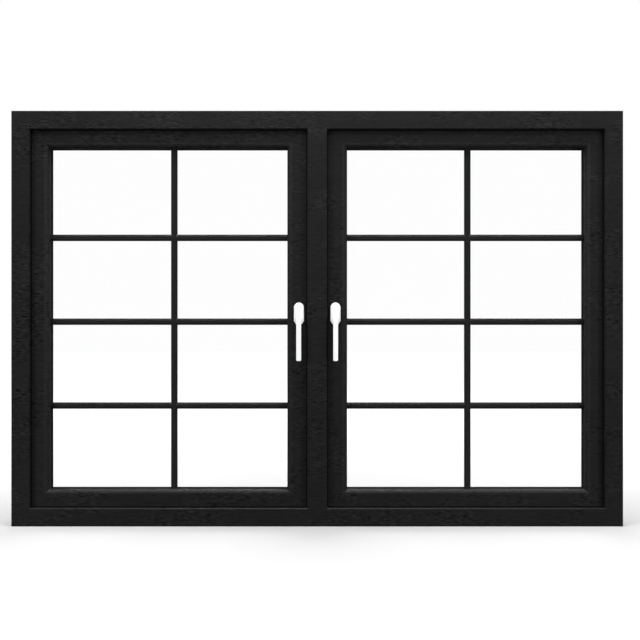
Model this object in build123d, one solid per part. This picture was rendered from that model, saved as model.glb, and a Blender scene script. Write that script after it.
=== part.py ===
from build123d import *
import os

# Twin casement window: two side hung sashes in one frame with a fixed mullion.
# Millimetres. X runs along the width, Z is up, the room is towards -Y.
# The origin is the bottom centre of the frame.

# Overall size
WIDTH = 1766.0
HEIGHT = 1200.0
FRAME_DEPTH = 70.0
FRONT = -FRAME_DEPTH / 2
BACK = FRAME_DEPTH / 2

# Outer frame and mullion
FRAME_FACE = 52.5
STOP_THICK = 12.5
CHANNEL = 34.5
EDGE = 1.5
STOP_EDGE = 2.0
MULLION_FACE = 58.0
MULLION_STEM = 36.0

# Sash section, measured inwards from the outer edge of the sash body
SETBACK = 16.0
SASH_OVERLAP = 10.0
SASH_FACE = 52.0
REBATE = 47.0
SIGHT = 61.0
LIP_REACH = 16.5
LIP_GAP = 3.0
LIP_THICK = 9.0
LEG_SLOPE = 8.5

# Glazing bead and sealed unit
BEAD_DEPTH = 11.0
GLAZING_GASKET = 3.0
GASKET_HEIGHT = 8.0
BEAD_NOSE = 2.0
NOSE_EDGE = 0.8
BEAD_BULGE = 1.2
PANE = 4.0
CAVITY = 20.0
GLASS_EDGE = 49.0
SPACER_EDGE = 56.5
SPACER_BACK = 50.0

# Bars inside the sealed unit
BAR_WIDTH = 19.0
BAR_FLAT = 8.0
BAR_THICK = 9.0
BAR_EDGE = 2.0
BAR_PITCH = 246.0
BAR_DROP = 9.0
BAR_SHIFT = {"left": 14.0, "right": 7.0}

# Gaskets
GASKET_SHOW = 2.5
GASKET_COVER = 7.5
OUTER_GASKET = 5.0
OUTER_GASKET_IN = 1.5

# Handles
HANDLE_SHIFT = 1.0
HANDLE_RISE = 2.0
BASE_ABOVE = 44.4
BASE_BELOW = 19.0
BASE_WIDTH = 29.0
BASE_THICK = 12.0
SPINDLE_RADIUS = 5.0
RUNNING_FIT = 0.05
SPINDLE_SHORT = 1.0
SHOULDER_RISE = 10.0
SHOULDER_RUN = 6.0
BASE_ROUND = 4.0
LEVER_DROP = 123.2
LEVER_WIDTH = 14.0
LEVER_THICK = 9.0
LEVER_STAND = 27.0
LEVER_KICK = 2.0
LEVER_CROWN = 2.5
NECK_WIDTH = 16.0
NECK_ROUND = 8.0
NECK_BOW = 2.0
TIP_ROUND = 2.0
COLLAR_GAP = 0.5

# Drainage caps
CAP_WIDTH = 34.0
CAP_HEIGHT = 9.0
CAP_THICK = 5.0
CAP_WALL = 1.5
CAP_LEVEL = 13.0

# How far a cut passes the surface that it opens
CUT_MARGIN = 2.0

# The middle of a quarter arc lies this share of its radius from either side
ARC_SHARE = 1 - 0.5 ** 0.5

# Derived positions
SASH_FRONT = FRONT + SETBACK
SASH_BACK = BACK + LIP_GAP + LIP_THICK
STOP_BACK = FRONT + STOP_THICK
BEAD_BACK = SASH_FRONT + BEAD_DEPTH
GLASS_FRONT = BEAD_BACK + GLAZING_GASKET
CAVITY_FRONT = GLASS_FRONT + PANE
CAVITY_BACK = CAVITY_FRONT + CAVITY
GLASS_BACK = CAVITY_BACK + PANE
LEG_FRONT = GLASS_BACK + GLAZING_GASKET
SASH_EDGE = FRAME_FACE - SASH_OVERLAP
SASH_OUTER_X = WIDTH / 2 - SASH_EDGE
SASH_INNER_X = MULLION_STEM / 2 + (SASH_EDGE - CHANNEL)
SASH_WIDTH = SASH_OUTER_X - SASH_INNER_X
SASH_HEIGHT = HEIGHT - 2 * SASH_EDGE
SASH_X = (SASH_OUTER_X + SASH_INNER_X) / 2
MID_Z = HEIGHT / 2
MASK_DEPTH = FRAME_DEPTH + LIP_GAP + LIP_THICK
HANDLE_X = SASH_INNER_X + SASH_FACE / 2 + HANDLE_SHIFT
SPINDLE_Z = MID_Z + HANDLE_RISE
BASE_TOP = SPINDLE_Z + BASE_ABOVE
BASE_BOTTOM = SPINDLE_Z - BASE_BELOW
LEVER_END = SPINDLE_Z - LEVER_DROP
NECK_BACK = SASH_FRONT - BASE_THICK - COLLAR_GAP
LEVER_BACK = SASH_FRONT - LEVER_STAND
LEVER_FRONT = LEVER_BACK - LEVER_THICK

SIDES = {"left": -1, "right": 1}
TURN = {"bottom": 0, "top": 180, "left": 90, "right": -90}


def save(name, pieces):
    shape = pieces[0] if len(pieces) == 1 else Compound(children=pieces)
    export_step(shape, "parts/" + name + ".step")


def strip(section, length):
    """Extrude a closed (depth, inward) section along X, centred."""
    face = Plane.YZ * make_face(section)
    return extrude(face, length / 2, both=True)


def member(section, side, width, height, reach, centre_x=0.0, centre_z=MID_Z):
    """One mitred member of a rectangular ring, the section facing inwards."""
    length = width if side in ("bottom", "top") else height
    rise = height if side in ("bottom", "top") else width
    half = length / 2
    corner = [(-half, 0), (half, 0), (half - reach, reach), (reach - half, reach)]
    mask = extrude(Plane.XZ * make_face(Polyline(*corner, close=True)), MASK_DEPTH, both=True)
    piece = strip(section, length + CUT_MARGIN) & mask
    piece = Pos(0, 0, -rise / 2) * piece
    piece = Pos(centre_x, 0, centre_z) * Rot(0, TURN[side], 0) * piece
    return piece.solids()[0]


def ring(outer, inner, y0, y1, centre_x):
    """A flat rectangular ring between two depths."""
    depth = y1 - y0
    middle = (y0 + y1) / 2
    block = Box(outer[0], depth, outer[1])
    hole = Box(inner[0], depth + CUT_MARGIN, inner[1])
    return (Pos(centre_x, middle, MID_Z) * (block - hole)).solids()[0]


def frame_section():
    points = [
        (FRONT, EDGE),
        (FRONT, FRAME_FACE - STOP_EDGE),
        (FRONT + STOP_EDGE, FRAME_FACE),
        (STOP_BACK, FRAME_FACE),
        (STOP_BACK, CHANNEL),
        (BACK - EDGE, CHANNEL),
        (BACK, CHANNEL - EDGE),
        (BACK, EDGE),
        (BACK - EDGE, 0),
        (FRONT + EDGE, 0),
    ]
    return Polyline(*points, close=True)


def build_frame():
    names = {"bottom": "frame_sill", "top": "frame_head"}
    names.update({"left": "frame_left_jamb", "right": "frame_right_jamb"})
    for side, name in names.items():
        save(name, [member(frame_section(), side, WIDTH, HEIGHT, FRAME_FACE + CUT_MARGIN)])


def build_mullion():
    face = MULLION_FACE / 2
    stem = MULLION_STEM / 2
    points = [
        (FRONT, face - STOP_EDGE),
        (FRONT + STOP_EDGE, face),
        (STOP_BACK, face),
        (STOP_BACK, stem),
        (BACK - EDGE, stem),
        (BACK, stem - EDGE),
    ]
    mirrored = [(y, -x) for y, x in reversed(points)]
    outline = make_face(Polyline(*points, *mirrored, close=True))
    post = Pos(0, 0, MID_Z) * Rot(0, 90, 0) * extrude(Plane.YZ * outline, HEIGHT / 2, both=True)
    for side in ("bottom", "top"):
        post = post - member(frame_section(), side, WIDTH, HEIGHT, FRAME_FACE + CUT_MARGIN)
    solids = sorted(post.solids(), key=lambda s: s.volume)
    save("frame_mullion", [solids[-1]])


def sash_section():
    lip = LIP_REACH
    lip_front = BACK + LIP_GAP
    points = [
        (SASH_FRONT, lip),
        (SASH_FRONT, lip + REBATE),
        (LEG_FRONT, lip + REBATE),
        (LEG_FRONT, lip + SIGHT),
        (SASH_BACK - EDGE, lip + SIGHT - LEG_SLOPE + EDGE / 2),
        (SASH_BACK, lip + SIGHT - LEG_SLOPE - EDGE),
        (SASH_BACK, 2 * EDGE),
        (SASH_BACK - 2 * EDGE, 0),
        (lip_front, 0),
        (lip_front, lip),
    ]
    return Polyline(*points, close=True)


def bead_section():
    start = (SASH_FRONT, LIP_REACH + SASH_FACE)
    nose = (BEAD_BACK - BEAD_NOSE, LIP_REACH + SIGHT - NOSE_EDGE)
    middle = ((start[0] + nose[0]) / 2 - BEAD_BULGE, (start[1] + nose[1]) / 2 + BEAD_BULGE)
    curve = ThreePointArc(start, middle, nose)
    rest = Polyline(
        nose,
        (BEAD_BACK - NOSE_EDGE, LIP_REACH + SIGHT),
        (BEAD_BACK, LIP_REACH + SIGHT),
        (BEAD_BACK, LIP_REACH + REBATE),
        (SASH_FRONT, LIP_REACH + REBATE),
        start,
    )
    return curve + rest


def build_sash(hand):
    centre = SIDES[hand] * SASH_X
    width = SASH_WIDTH + 2 * LIP_REACH
    height = SASH_HEIGHT + 2 * LIP_REACH
    reach = LIP_REACH + SIGHT + CUT_MARGIN
    stiles = {"left": "hinge_stile", "right": "lock_stile"}
    if hand == "right":
        stiles = {"left": "lock_stile", "right": "hinge_stile"}
    names = {"bottom": "bottom_rail", "top": "top_rail"}
    names.update(stiles)
    for side, name in names.items():
        piece = member(sash_section(), side, width, height, reach, centre)
        save(hand + "_sash_" + name, [piece])
        bead = member(bead_section(), side, width, height, reach, centre)
        save(hand + "_bead_" + side, [bead])


def build_glass(hand):
    centre = SIDES[hand] * SASH_X
    width = SASH_WIDTH - 2 * GLASS_EDGE
    height = SASH_HEIGHT - 2 * GLASS_EDGE
    for name, y0 in (("inner", GLASS_FRONT), ("outer", CAVITY_BACK)):
        sheet = Pos(centre, y0 + PANE / 2, MID_Z) * Box(width, PANE, height)
        save(hand + "_glass_" + name, [sheet])
    outer = (SASH_WIDTH - 2 * SPACER_BACK, SASH_HEIGHT - 2 * SPACER_BACK)
    inner = (SASH_WIDTH - 2 * SPACER_EDGE, SASH_HEIGHT - 2 * SPACER_EDGE)
    save(hand + "_glass_spacer", [ring(outer, inner, CAVITY_FRONT, CAVITY_BACK, centre)])
    inner = (SASH_WIDTH - 2 * SIGHT, SASH_HEIGHT - 2 * SIGHT)
    outer = (inner[0] + 2 * GASKET_HEIGHT, inner[1] + 2 * GASKET_HEIGHT)
    for name, y0 in (("inner", BEAD_BACK), ("outer", GLASS_BACK)):
        seal = ring(outer, inner, y0, y0 + GLAZING_GASKET, centre)
        save(hand + "_glazing_gasket_" + name, [seal])


def bar_section():
    flat = BAR_FLAT / 2
    half = BAR_WIDTH / 2
    deep = BAR_THICK / 2
    edge = BAR_EDGE / 2
    quarter = [(-deep, flat), (-edge, half), (edge, half), (deep, flat)]
    return Polyline(*quarter, *[(y, -x) for y, x in reversed(quarter)], close=True)


def build_bars(hand):
    centre = SIDES[hand] * SASH_X
    middle = (CAVITY_FRONT + CAVITY_BACK) / 2
    bar_x = centre + BAR_SHIFT[hand]
    width = SASH_WIDTH - 2 * SPACER_EDGE
    height = SASH_HEIGHT - 2 * SPACER_EDGE
    upright = Pos(bar_x, middle, MID_Z) * Rot(0, 90, 0) * strip(bar_section(), height)
    save(hand + "_bar_upright", upright.solids())
    pieces = []
    for row in (-1, 0, 1):
        level = MID_Z - BAR_DROP + row * BAR_PITCH
        bar = Pos(centre, middle, level) * strip(bar_section(), width)
        pieces.extend((bar - upright).solids())
    save(hand + "_bars_cross", pieces)


def build_gaskets(hand):
    centre = SIDES[hand] * SASH_X
    outer_x = WIDTH / 2 - FRAME_FACE + GASKET_COVER
    inner_x = MULLION_FACE / 2 - EDGE
    show_x = WIDTH / 2 - FRAME_FACE - GASKET_SHOW
    face_x = MULLION_FACE / 2 + GASKET_SHOW
    outer_h = HEIGHT - 2 * (FRAME_FACE - GASKET_COVER)
    inner_h = HEIGHT - 2 * (FRAME_FACE + GASKET_SHOW)
    depth = SASH_FRONT - STOP_BACK
    middle = (STOP_BACK + SASH_FRONT) / 2
    block = Pos((outer_x + inner_x) / 2, middle, MID_Z) * Box(outer_x - inner_x, depth, outer_h)
    hole = Pos((show_x + face_x) / 2, middle, MID_Z) * Box(show_x - face_x, depth + CUT_MARGIN, inner_h)
    seal = block - hole
    if hand == "left":
        seal = seal.mirror(Plane.YZ)
    save(hand + "_inner_gasket", [seal.solids()[0]])
    edge = LIP_REACH - 2 * OUTER_GASKET_IN
    outer = (SASH_WIDTH + 2 * edge, SASH_HEIGHT + 2 * edge)
    inner = (outer[0] - 2 * OUTER_GASKET, outer[1] - 2 * OUTER_GASKET)
    save(hand + "_outer_gasket", [ring(outer, inner, BACK, BACK + LIP_GAP, centre)])


def handle_base():
    half = BASE_WIDTH / 2
    outline = Polyline(
        (-half, BASE_TOP - half),
        (-half, BASE_BOTTOM + SHOULDER_RISE),
        (-half + SHOULDER_RUN, BASE_BOTTOM),
        (half - SHOULDER_RUN, BASE_BOTTOM),
        (half, BASE_BOTTOM + SHOULDER_RISE),
        (half, BASE_TOP - half),
    )
    cap = ThreePointArc((half, BASE_TOP - half), (0, BASE_TOP), (-half, BASE_TOP - half))
    back = Plane.XZ.offset(-SASH_FRONT)
    base = extrude(back * make_face(outline + cap), BASE_THICK)
    front = base.faces().sort_by(Axis.Y)[0]
    base = fillet(front.edges(), BASE_ROUND)
    bore = Pos(0, SASH_FRONT - BASE_THICK / 2, SPINDLE_Z) * Rot(90, 0, 0)
    return base - bore * Cylinder(SPINDLE_RADIUS + RUNNING_FIT, BASE_THICK + CUT_MARGIN)


def lever_side():
    """The lever seen from its side: neck, bend and blade."""
    neck = NECK_WIDTH / 2
    bend = SPINDLE_Z - neck - NECK_ROUND
    outer = Spline(
        (LEVER_FRONT + NECK_ROUND, SPINDLE_Z + neck),
        (LEVER_FRONT + NECK_BOW, SPINDLE_Z + neck / 3),
        (LEVER_FRONT, bend),
        tangents=((-1, 0), (0, -1)),
    )
    inner = ThreePointArc(
        (LEVER_BACK, bend),
        (LEVER_BACK + NECK_ROUND * ARC_SHARE, SPINDLE_Z - neck - NECK_ROUND * ARC_SHARE),
        (LEVER_BACK + NECK_ROUND, SPINDLE_Z - neck),
    )
    blade = Polyline(
        (LEVER_FRONT, bend),
        (LEVER_FRONT - LEVER_KICK, LEVER_END),
        (LEVER_BACK - LEVER_KICK, LEVER_END),
        (LEVER_BACK, bend),
    )
    root = Polyline(
        (LEVER_BACK + NECK_ROUND, SPINDLE_Z - neck),
        (NECK_BACK, SPINDLE_Z - neck),
        (NECK_BACK, SPINDLE_Z + neck),
        (LEVER_FRONT + NECK_ROUND, SPINDLE_Z + neck),
    )
    face = Plane.YZ * make_face(outer + blade + inner + root)
    return extrude(face, BASE_WIDTH, both=True)


def lever_front():
    """The lever seen from the room, with a round crown over the spindle."""
    neck = NECK_WIDTH / 2
    blade = LEVER_WIDTH / 2
    outline = Polyline(
        (-neck, SPINDLE_Z),
        (-blade, SPINDLE_Z - NECK_WIDTH),
        (-blade, LEVER_END + TIP_ROUND),
        (-blade + TIP_ROUND, LEVER_END),
        (blade - TIP_ROUND, LEVER_END),
        (blade, LEVER_END + TIP_ROUND),
        (blade, SPINDLE_Z - NECK_WIDTH),
        (neck, SPINDLE_Z),
    )
    crown = ThreePointArc((neck, SPINDLE_Z), (0, SPINDLE_Z + neck), (-neck, SPINDLE_Z))
    return extrude(Plane.XZ * make_face(outline + crown), WIDTH, both=True)


def lever_plan():
    """The lever seen from above: a crowned front and straight flanks."""
    neck = NECK_WIDTH / 2
    front = LEVER_FRONT - LEVER_KICK
    crown = ThreePointArc((-neck, front + LEVER_CROWN), (0, front), (neck, front + LEVER_CROWN))
    flanks = Polyline(
        (neck, front + LEVER_CROWN),
        (neck, NECK_BACK),
        (-neck, NECK_BACK),
        (-neck, front + LEVER_CROWN),
    )
    return extrude(make_face(crown + flanks), HEIGHT)


def build_handle(hand):
    place = Pos(SIDES[hand] * HANDLE_X, 0, 0)
    save(hand + "_handle_base", (place * handle_base()).solids())
    lever = lever_side() & lever_front() & lever_plan()
    spindle_y = (NECK_BACK + SASH_FRONT - SPINDLE_SHORT) / 2
    spindle_length = SASH_FRONT - SPINDLE_SHORT - NECK_BACK
    spindle = Cylinder(SPINDLE_RADIUS, spindle_length + COLLAR_GAP)
    lever = lever + Pos(0, spindle_y - COLLAR_GAP / 2, SPINDLE_Z) * Rot(90, 0, 0) * spindle
    save(hand + "_handle_lever", (place * lever).solids())


def build_drain_caps():
    """Hooded caps over the drainage slots on the outside of the sill."""
    caps = []
    for step in (-3, -1, 1, 3):
        hood = Box(CAP_WIDTH, CAP_THICK, CAP_HEIGHT)
        top_edges = hood.edges().group_by(Axis.Y)[-1]
        hood = chamfer(top_edges, CAP_THICK / 2)
        mouth = Box(CAP_WIDTH - 2 * CAP_WALL, CAP_THICK, CAP_HEIGHT / 2)
        hood = hood - Pos(0, -CAP_WALL, -CAP_HEIGHT / 2) * mouth
        spot = Pos(step * WIDTH / 8, BACK + CAP_THICK / 2, CAP_LEVEL)
        caps.append((spot * hood).solids()[0])
    save("sill_drain_caps", caps)


os.makedirs("parts", exist_ok=True)
build_frame()
build_mullion()
build_drain_caps()
for hand in SIDES:
    build_sash(hand)
    build_glass(hand)
    build_bars(hand)
    build_gaskets(hand)
    build_handle(hand)
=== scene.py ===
import math
import bpy
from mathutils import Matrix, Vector

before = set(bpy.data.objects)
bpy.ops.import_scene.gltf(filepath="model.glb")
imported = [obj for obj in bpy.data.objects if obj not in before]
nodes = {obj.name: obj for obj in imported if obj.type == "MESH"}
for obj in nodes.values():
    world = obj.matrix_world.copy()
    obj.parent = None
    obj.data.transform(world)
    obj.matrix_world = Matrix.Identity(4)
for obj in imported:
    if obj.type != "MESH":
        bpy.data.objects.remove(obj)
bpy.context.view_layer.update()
scene = bpy.context.scene

# Lengths are metres and colours are linear. X runs along the width, Z is up, the room is towards -Y.

# Wood grain of the foil, as noise cells for each metre along X, Y and Z
GRAIN_WANDER = (26, 26, 40)
GRAIN_TICKS = (62, 62, 250)
GRAIN_STREAKS = (22, 22, 300)
GRAIN_PORES = (160, 300, 1500)
GRAIN_PATCHES = (8, 8, 13)
GRAIN_CLOUD = (3.1, 3.1, 5.2)
WANDER_REACH = 0.006
GRAIN_CONTRAST = 0.56

# Surface colours
FOIL_DARK = (0.0026,) * 3
FOIL_LIGHT = (0.0192,) * 3
# The bead's light tone is a touch lighter than the frame's: painted light on the beads
BEAD_PAINTED_LIT_TONE = (0.0196,) * 3
BAR_DARK = (0.008,) * 3
BAR_LIGHT = (0.018,) * 3
SPACER_DARK = (0.014,) * 3
SPACER_LIGHT = (0.026,) * 3
LACQUER_CLEAN = (0.84, 0.84, 0.835)
LACQUER_WORN = (0.8, 0.8, 0.795)
GLASS_TINT = (0.999, 1.0, 0.9995, 1)
GLASS_SHEEN_TINT = (0.95, 1.0, 0.98, 1)

# Floor: its colour when seen and for the light that it throws back, and a painted glow that grows with
# distance, so that the dimmer floor around the window is painted shade
FLOOR_DARK = (0.42,) * 3
FLOOR_LIGHT = (0.44,) * 3
FLOOR_BOUNCE = (0.06, 0.06, 0.06, 1)
FLOOR_REACH = 14.0
# The glow's oval, its reach and its near and far strengths shape the painted shade on the floor around
# the window
GLOW_OVAL = (0.6, 1.0, 1.0)
GLOW_START = 0.1
GLOW_END = 3.3
NEAR_GLOW = 0.08
FAR_GLOW = 0.97

# Sky strength for bounced light and for the eye
SKY_BOUNCED = 0.13
SKY_SEEN = 1.0

# Camera, 50 mm on a 36 mm wide sensor
LENS = 50.0
SENSOR = 36.0
EYE = (0.0081, -2.5995, 0.596)
LEVEL_VIEW = math.radians(90)

# Name, place, aim, size, watts, and whether the lamp shows in reflections
SOFTBOXES = (
    ("front_softbox", (0.0, -2.4, 3.6), (0.0, 0.0, 0.5), (3.4, 1.3), 70, True),
    ("left_softbox", (-3.2, -2.6, 0.7), (0.0, 0.0, 0.2), (1.2, 0.9), 94, False),
    ("right_softbox", (3.2, -2.6, 0.7), (0.0, 0.0, 0.2), (1.2, 0.9), 94, False),
    ("rear_softbox", (0.0, 2.8, 3.3), (0.0, 0.0, 0.5), (3.4, 1.2), 90, True),
    ("overhead_softbox", (0.0, -0.25, 3.1), (0.0, -0.1, 0.0), (3.4, 1.2), 128, True),
)


def new_material(name):
    """A material with an empty node tree and its output node."""
    mat = bpy.data.materials.new(name)
    mat.use_nodes = True
    tree = mat.node_tree
    tree.nodes.clear()
    out = tree.nodes.new("ShaderNodeOutputMaterial")
    return mat, tree, out


def add(tree, kind, **values):
    """Add a node and set its properties and input values by name."""
    node = tree.nodes.new(kind)
    for key, value in values.items():
        if key in node.inputs:
            node.inputs[key].default_value = value
        else:
            setattr(node, key, value)
    return node


def link(tree, source, target):
    tree.links.new(source, target)


def noise(tree, coords, scale, detail=2.0, rough=0.5):
    """Noise over the object's own metres, stretched by a scale for each axis."""
    mapping = add(tree, "ShaderNodeMapping")
    mapping.inputs["Scale"].default_value = scale
    link(tree, coords, mapping.inputs["Vector"])
    node = add(tree, "ShaderNodeTexNoise", Scale=1.0, Detail=detail, Roughness=rough)
    link(tree, mapping.outputs["Vector"], node.inputs["Vector"])
    return node.outputs["Fac"]


def ramp(tree, fac, low, high, low_value, high_value):
    """Map a value range to another one, clamped."""
    node = add(tree, "ShaderNodeMapRange")
    node.inputs["From Min"].default_value = low
    node.inputs["From Max"].default_value = high
    node.inputs["To Min"].default_value = low_value
    node.inputs["To Max"].default_value = high_value
    link(tree, fac, node.inputs["Value"])
    return node.outputs["Result"]


def times(tree, a, b):
    """Multiply two values."""
    node = add(tree, "ShaderNodeMath", operation="MULTIPLY")
    link(tree, a, node.inputs[0])
    link(tree, b, node.inputs[1])
    return node.outputs[0]


def blend_colour(tree, fac, dark, light):
    """Blend two colours by a value from 0 to 1."""
    node = add(tree, "ShaderNodeMix", data_type="RGBA")
    node.inputs[6].default_value = (*dark, 1)
    node.inputs[7].default_value = (*light, 1)
    link(tree, fac, node.inputs[0])
    return node.outputs[2]


def bump(tree, height, strength, distance, normal=None):
    """A normal that follows a height, on top of another normal where one is given."""
    node = add(tree, "ShaderNodeBump", Strength=strength, Distance=distance)
    link(tree, height, node.inputs["Height"])
    if normal is not None:
        link(tree, normal, node.inputs["Normal"])
    return node.outputs["Normal"]


def principled(tree, out, **values):
    """A surface shader joined to the output, with inputs by name and underscores for spaces."""
    node = add(tree, "ShaderNodeBsdfPrincipled")
    for key, value in values.items():
        node.inputs[key.replace("_", " ")].default_value = value
    link(tree, node.outputs["BSDF"], out.inputs["Surface"])
    return node


def grained_foil(name, dark, light, shine=0.14, matt=0.0):
    """Black foil with an embossed wood grain that runs across the window."""
    mat, tree, out = new_material(name)
    coords = add(tree, "ShaderNodeTexCoord").outputs["Object"]
    wander = noise(tree, coords, GRAIN_WANDER, 1.0)
    lift = add(tree, "ShaderNodeCombineXYZ")
    link(tree, ramp(tree, wander, 0.0, 1.0, -WANDER_REACH, WANDER_REACH), lift.inputs["Z"])
    wavy = add(tree, "ShaderNodeVectorMath", operation="ADD")
    link(tree, coords, wavy.inputs[0])
    link(tree, lift.outputs["Vector"], wavy.inputs[1])
    grain_coords = wavy.outputs["Vector"]
    ticks = noise(tree, grain_coords, GRAIN_TICKS, 2.0, 0.7)
    streaks = noise(tree, grain_coords, GRAIN_STREAKS, 2.0, 0.6)
    pores = noise(tree, coords, GRAIN_PORES, 1.0)
    patches = noise(tree, coords, GRAIN_PATCHES, 2.0)
    cloud = noise(tree, coords, GRAIN_CLOUD, 1.0)
    mask = ramp(tree, patches, 0.44, 0.6, 0.15, 1.0)
    raised = times(tree, ramp(tree, ticks, 0.54, 0.65, 0.0, 1.0), mask)
    grooves = times(tree, ramp(tree, ticks, 0.36, 0.45, 1.0, 0.0), mask)
    faint = ramp(tree, streaks, 0.4, 0.7, 0.0, 0.2)
    relief = add(tree, "ShaderNodeMath", operation="SUBTRACT")
    link(tree, raised, relief.inputs[0])
    link(tree, grooves, relief.inputs[1])
    shade = add(tree, "ShaderNodeMath", operation="MULTIPLY_ADD")
    shade.inputs[1].default_value = GRAIN_CONTRAST
    link(tree, relief.outputs[0], shade.inputs[0])
    link(tree, faint, shade.inputs[2])
    body = add(tree, "ShaderNodeMath", operation="ADD")
    link(tree, shade.outputs[0], body.inputs[0])
    link(tree, ramp(tree, cloud, 0.35, 0.65, 0.37, 0.46), body.inputs[1])
    colour = blend_colour(tree, body.outputs[0], dark, light)
    rough = ramp(tree, relief.outputs[0], -1.0, 1.0, 0.54 + matt, 0.36 + matt)
    grain = bump(tree, relief.outputs[0], 0.5, 0.0005)
    fine = bump(tree, pores, 0.25, 0.0002, grain)
    shader = principled(tree, out, Specular_IOR_Level=shine)
    link(tree, colour, shader.inputs["Base Color"])
    link(tree, rough, shader.inputs["Roughness"])
    link(tree, fine, shader.inputs["Normal"])
    return mat


def painted_bar(name):
    """Satin black paint on the bars between the panes, with faint streaks."""
    mat, tree, out = new_material(name)
    coords = add(tree, "ShaderNodeTexCoord").outputs["Object"]
    streaks = noise(tree, coords, (40, 40, 420), 2.0)
    colour = blend_colour(tree, streaks, BAR_DARK, BAR_LIGHT)
    rough = ramp(tree, noise(tree, coords, (60, 60, 60)), 0.3, 0.7, 0.3, 0.45)
    shader = principled(tree, out, Specular_IOR_Level=0.15)
    link(tree, colour, shader.inputs["Base Color"])
    link(tree, rough, shader.inputs["Roughness"])
    link(tree, bump(tree, streaks, 0.15, 0.0003), shader.inputs["Normal"])
    return mat


def rubber(name, tone, shine=0.2):
    """Dull rubber or plastic of a grey tone, with a fine speckle."""
    mat, tree, out = new_material(name)
    coords = add(tree, "ShaderNodeTexCoord").outputs["Object"]
    speckle = noise(tree, coords, (700, 700, 700), 2.0)
    tint = blend_colour(tree, speckle, (tone * 0.6,) * 3, (tone * 1.5,) * 3)
    shader = principled(tree, out, Specular_IOR_Level=shine)
    link(tree, tint, shader.inputs["Base Color"])
    link(tree, ramp(tree, speckle, 0.3, 0.7, 0.6, 0.85), shader.inputs["Roughness"])
    link(tree, bump(tree, speckle, 0.3, 0.0001), shader.inputs["Normal"])
    return mat


def spacer_bar(name):
    """Dark edge spacer with fine ribs."""
    mat, tree, out = new_material(name)
    coords = add(tree, "ShaderNodeTexCoord").outputs["Object"]
    ribs = add(tree, "ShaderNodeTexWave", bands_direction="DIAGONAL")
    ribs.inputs["Scale"].default_value = 240.0
    link(tree, coords, ribs.inputs["Vector"])
    tint = blend_colour(tree, ribs.outputs["Fac"], SPACER_DARK, SPACER_LIGHT)
    shader = principled(tree, out, Roughness=0.55)
    link(tree, tint, shader.inputs["Base Color"])
    link(tree, bump(tree, ribs.outputs["Fac"], 0.2, 0.0002), shader.inputs["Normal"])
    return mat


def white_lacquer(name):
    """Glossy white lacquer on the cast handles, with a faint orange peel."""
    mat, tree, out = new_material(name)
    coords = add(tree, "ShaderNodeTexCoord").outputs["Object"]
    peel = noise(tree, coords, (420, 420, 420), 1.0)
    wear = noise(tree, coords, (55, 55, 55), 3.0)
    worn = ramp(tree, wear, 0.35, 0.7, 0.0, 1.0)
    tint = blend_colour(tree, worn, LACQUER_CLEAN, LACQUER_WORN)
    shader = principled(tree, out, Coat_Weight=0.35, Coat_Roughness=0.08)
    link(tree, tint, shader.inputs["Base Color"])
    link(tree, ramp(tree, wear, 0.3, 0.7, 0.22, 0.34), shader.inputs["Roughness"])
    link(tree, bump(tree, peel, 0.08, 0.0002), shader.inputs["Normal"])
    return mat


def clear_glass(name):
    """Float glass: clear straight on, with a mirror sheen at a glancing angle."""
    mat, tree, out = new_material(name)
    coords = add(tree, "ShaderNodeTexCoord").outputs["Object"]
    roll = noise(tree, coords, (2.5, 2.5, 1.2), 1.0)
    film = noise(tree, coords, (14, 14, 22), 3.0)
    waves = bump(tree, roll, 0.04, 0.0005)
    facing = add(tree, "ShaderNodeLayerWeight", Blend=0.5)
    link(tree, waves, facing.inputs["Normal"])
    grazing = add(tree, "ShaderNodeMath", operation="POWER")
    grazing.inputs[1].default_value = 4.0
    link(tree, facing.outputs["Facing"], grazing.inputs[0])
    sheen = ramp(tree, grazing.outputs[0], 0.0, 1.0, 0.004, 0.62)
    gloss = add(tree, "ShaderNodeBsdfGlossy", Color=GLASS_SHEEN_TINT)
    link(tree, ramp(tree, film, 0.3, 0.7, 0.01, 0.05), gloss.inputs["Roughness"])
    link(tree, waves, gloss.inputs["Normal"])
    clear = add(tree, "ShaderNodeBsdfTransparent", Color=GLASS_TINT)
    mix = add(tree, "ShaderNodeMixShader")
    link(tree, sheen, mix.inputs[0])
    link(tree, clear.outputs["BSDF"], mix.inputs[1])
    link(tree, gloss.outputs["BSDF"], mix.inputs[2])
    link(tree, mix.outputs["Shader"], out.inputs["Surface"])
    return mat


FOIL = grained_foil("grained_foil_frame", FOIL_DARK, FOIL_LIGHT)
# The beads' copy of the foil is a touch lighter as painted light, with more shine and a rougher finish
BEAD = grained_foil("grained_foil_bead", FOIL_DARK, BEAD_PAINTED_LIT_TONE, shine=0.26, matt=0.18)
BAR = painted_bar("bar_paint")
# The seal rubber is near black, much darker than the glazing gasket: black rubber plus painted shade
# for the shadowed gaps round the sashes
SEAL_WITH_PAINTED_SHADE = rubber("seal_rubber_painted_shade", 0.003, shine=0.05)
GASKET = rubber("gasket_rubber", 0.022)
SPACER = spacer_bar("spacer_dark")
CAP = rubber("cap_plastic", 0.016)
WHITE = white_lacquer("handle_lacquer")
GLASS = clear_glass("float_glass")

# The first key that is part of a piece's name gives its material
RULES = (
    ("glass_spacer", SPACER),
    ("glass_", GLASS),
    ("glazing_gasket", GASKET),
    ("gasket", SEAL_WITH_PAINTED_SHADE),
    ("handle", WHITE),
    ("drain_caps", CAP),
    ("_bar_", BAR),
    ("_bars_", BAR),
    ("_bead_", BEAD),
    ("", FOIL),
)

for name, node in nodes.items():
    material = next(mat for key, mat in RULES if key in name)
    node.data.materials.clear()
    node.data.materials.append(material)


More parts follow.
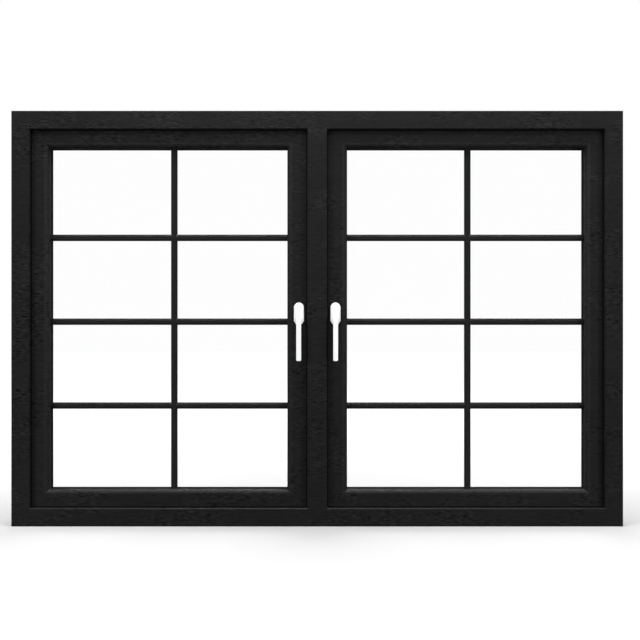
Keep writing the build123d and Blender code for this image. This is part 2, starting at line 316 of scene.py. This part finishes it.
def seen_by_eye(tree):
    """1 for what is seen directly or straight through glass, 0 for light that bounced."""
    path = add(tree, "ShaderNodeLightPath")
    bounces = add(tree, "ShaderNodeMath", operation="ADD")
    link(tree, path.outputs["Diffuse Depth"], bounces.inputs[0])
    link(tree, path.outputs["Glossy Depth"], bounces.inputs[1])
    direct = add(tree, "ShaderNodeMath", operation="LESS_THAN")
    direct.inputs[1].default_value = 0.5
    link(tree, bounces.outputs[0], direct.inputs[0])
    through = times(tree, path.outputs["Is Transmission Ray"], direct.outputs[0])
    either = add(tree, "ShaderNodeMath", operation="MAXIMUM")
    link(tree, path.outputs["Is Camera Ray"], either.inputs[0])
    link(tree, through, either.inputs[1])
    return either.outputs[0]


def floor_material(name):
    """Floor that keeps the shadow, reads white where it is seen, with a painted glow that is dim near
    the window as painted shade, and throws little light back.
    """
    mat, tree, out = new_material(name)
    coords = add(tree, "ShaderNodeTexCoord").outputs["Object"]
    cloud = noise(tree, coords, (0.6, 0.6, 0.6))
    shown = blend_colour(tree, cloud, FLOOR_DARK, FLOOR_LIGHT)
    spill = add(tree, "ShaderNodeMix", data_type="RGBA")
    spill.inputs[6].default_value = FLOOR_BOUNCE
    eye = seen_by_eye(tree)
    link(tree, eye, spill.inputs[0])
    link(tree, shown, spill.inputs[7])
    lit = add(tree, "ShaderNodeBsdfDiffuse")
    link(tree, spill.outputs[2], lit.inputs["Color"])
    glow = add(tree, "ShaderNodeEmission")
    # A painted glow that grows away from the window, leaving painted shade on the floor around its base
    oval = add(tree, "ShaderNodeVectorMath", operation="MULTIPLY")
    oval.inputs[1].default_value = GLOW_OVAL
    link(tree, coords, oval.inputs[0])
    away = add(tree, "ShaderNodeVectorMath", operation="LENGTH")
    link(tree, oval.outputs["Vector"], away.inputs[0])
    glow_with_painted_shade = ramp(tree, away.outputs["Value"], GLOW_START, GLOW_END, NEAR_GLOW, FAR_GLOW)
    link(tree, times(tree, eye, glow_with_painted_shade), glow.inputs["Strength"])
    both = add(tree, "ShaderNodeAddShader")
    link(tree, lit.outputs["BSDF"], both.inputs[0])
    link(tree, glow.outputs["Emission"], both.inputs[1])
    link(tree, both.outputs["Shader"], out.inputs["Surface"])
    return mat


floor_mesh = bpy.data.meshes.new("studio_floor")
turns = ((-1, -1), (1, -1), (1, 1), (-1, 1))
corners = [(x * FLOOR_REACH, y * FLOOR_REACH, 0) for x, y in turns]
floor_mesh.from_pydata(corners, [], [(0, 1, 2, 3)])
floor = bpy.data.objects.new("studio_floor", floor_mesh)
scene.collection.objects.link(floor)
floor_mesh.materials.append(floor_material("studio_floor_pale"))

# World: white where it is seen directly or through glass, a grey light elsewhere
world = bpy.data.worlds.new("studio_world")
scene.world = world
world.use_nodes = True
tree = world.node_tree
tree.nodes.clear()
level = ramp(tree, seen_by_eye(tree), 0.0, 1.0, SKY_BOUNCED, SKY_SEEN)
sky = add(tree, "ShaderNodeBackground", Color=(1, 1, 1, 1))
link(tree, level, sky.inputs["Strength"])
world_out = add(tree, "ShaderNodeOutputWorld")
link(tree, sky.outputs["Background"], world_out.inputs["Surface"])


def softbox(name, place, aim, size, watts, mirrored):
    """A flat rectangular lamp that faces its aim."""
    data = bpy.data.lights.new(name, "AREA")
    data.shape = "RECTANGLE"
    data.size = size[0]
    data.size_y = size[1]
    data.energy = watts
    lamp = bpy.data.objects.new(name, data)
    lamp.location = place
    lamp.rotation_euler = (Vector(aim) - Vector(place)).to_track_quat("-Z", "Y").to_euler()
    lamp.visible_glossy = mirrored
    scene.collection.objects.link(lamp)


for settings in SOFTBOXES:
    softbox(*settings)

camera_data = bpy.data.cameras.new("photo_camera")
camera_data.lens = LENS
camera_data.sensor_width = SENSOR
camera = bpy.data.objects.new("photo_camera", camera_data)
camera.location = EYE
camera.rotation_euler = (LEVEL_VIEW, 0.0, 0.0)
scene.collection.objects.link(camera)
scene.camera = camera

scene.view_settings.view_transform = "Standard"
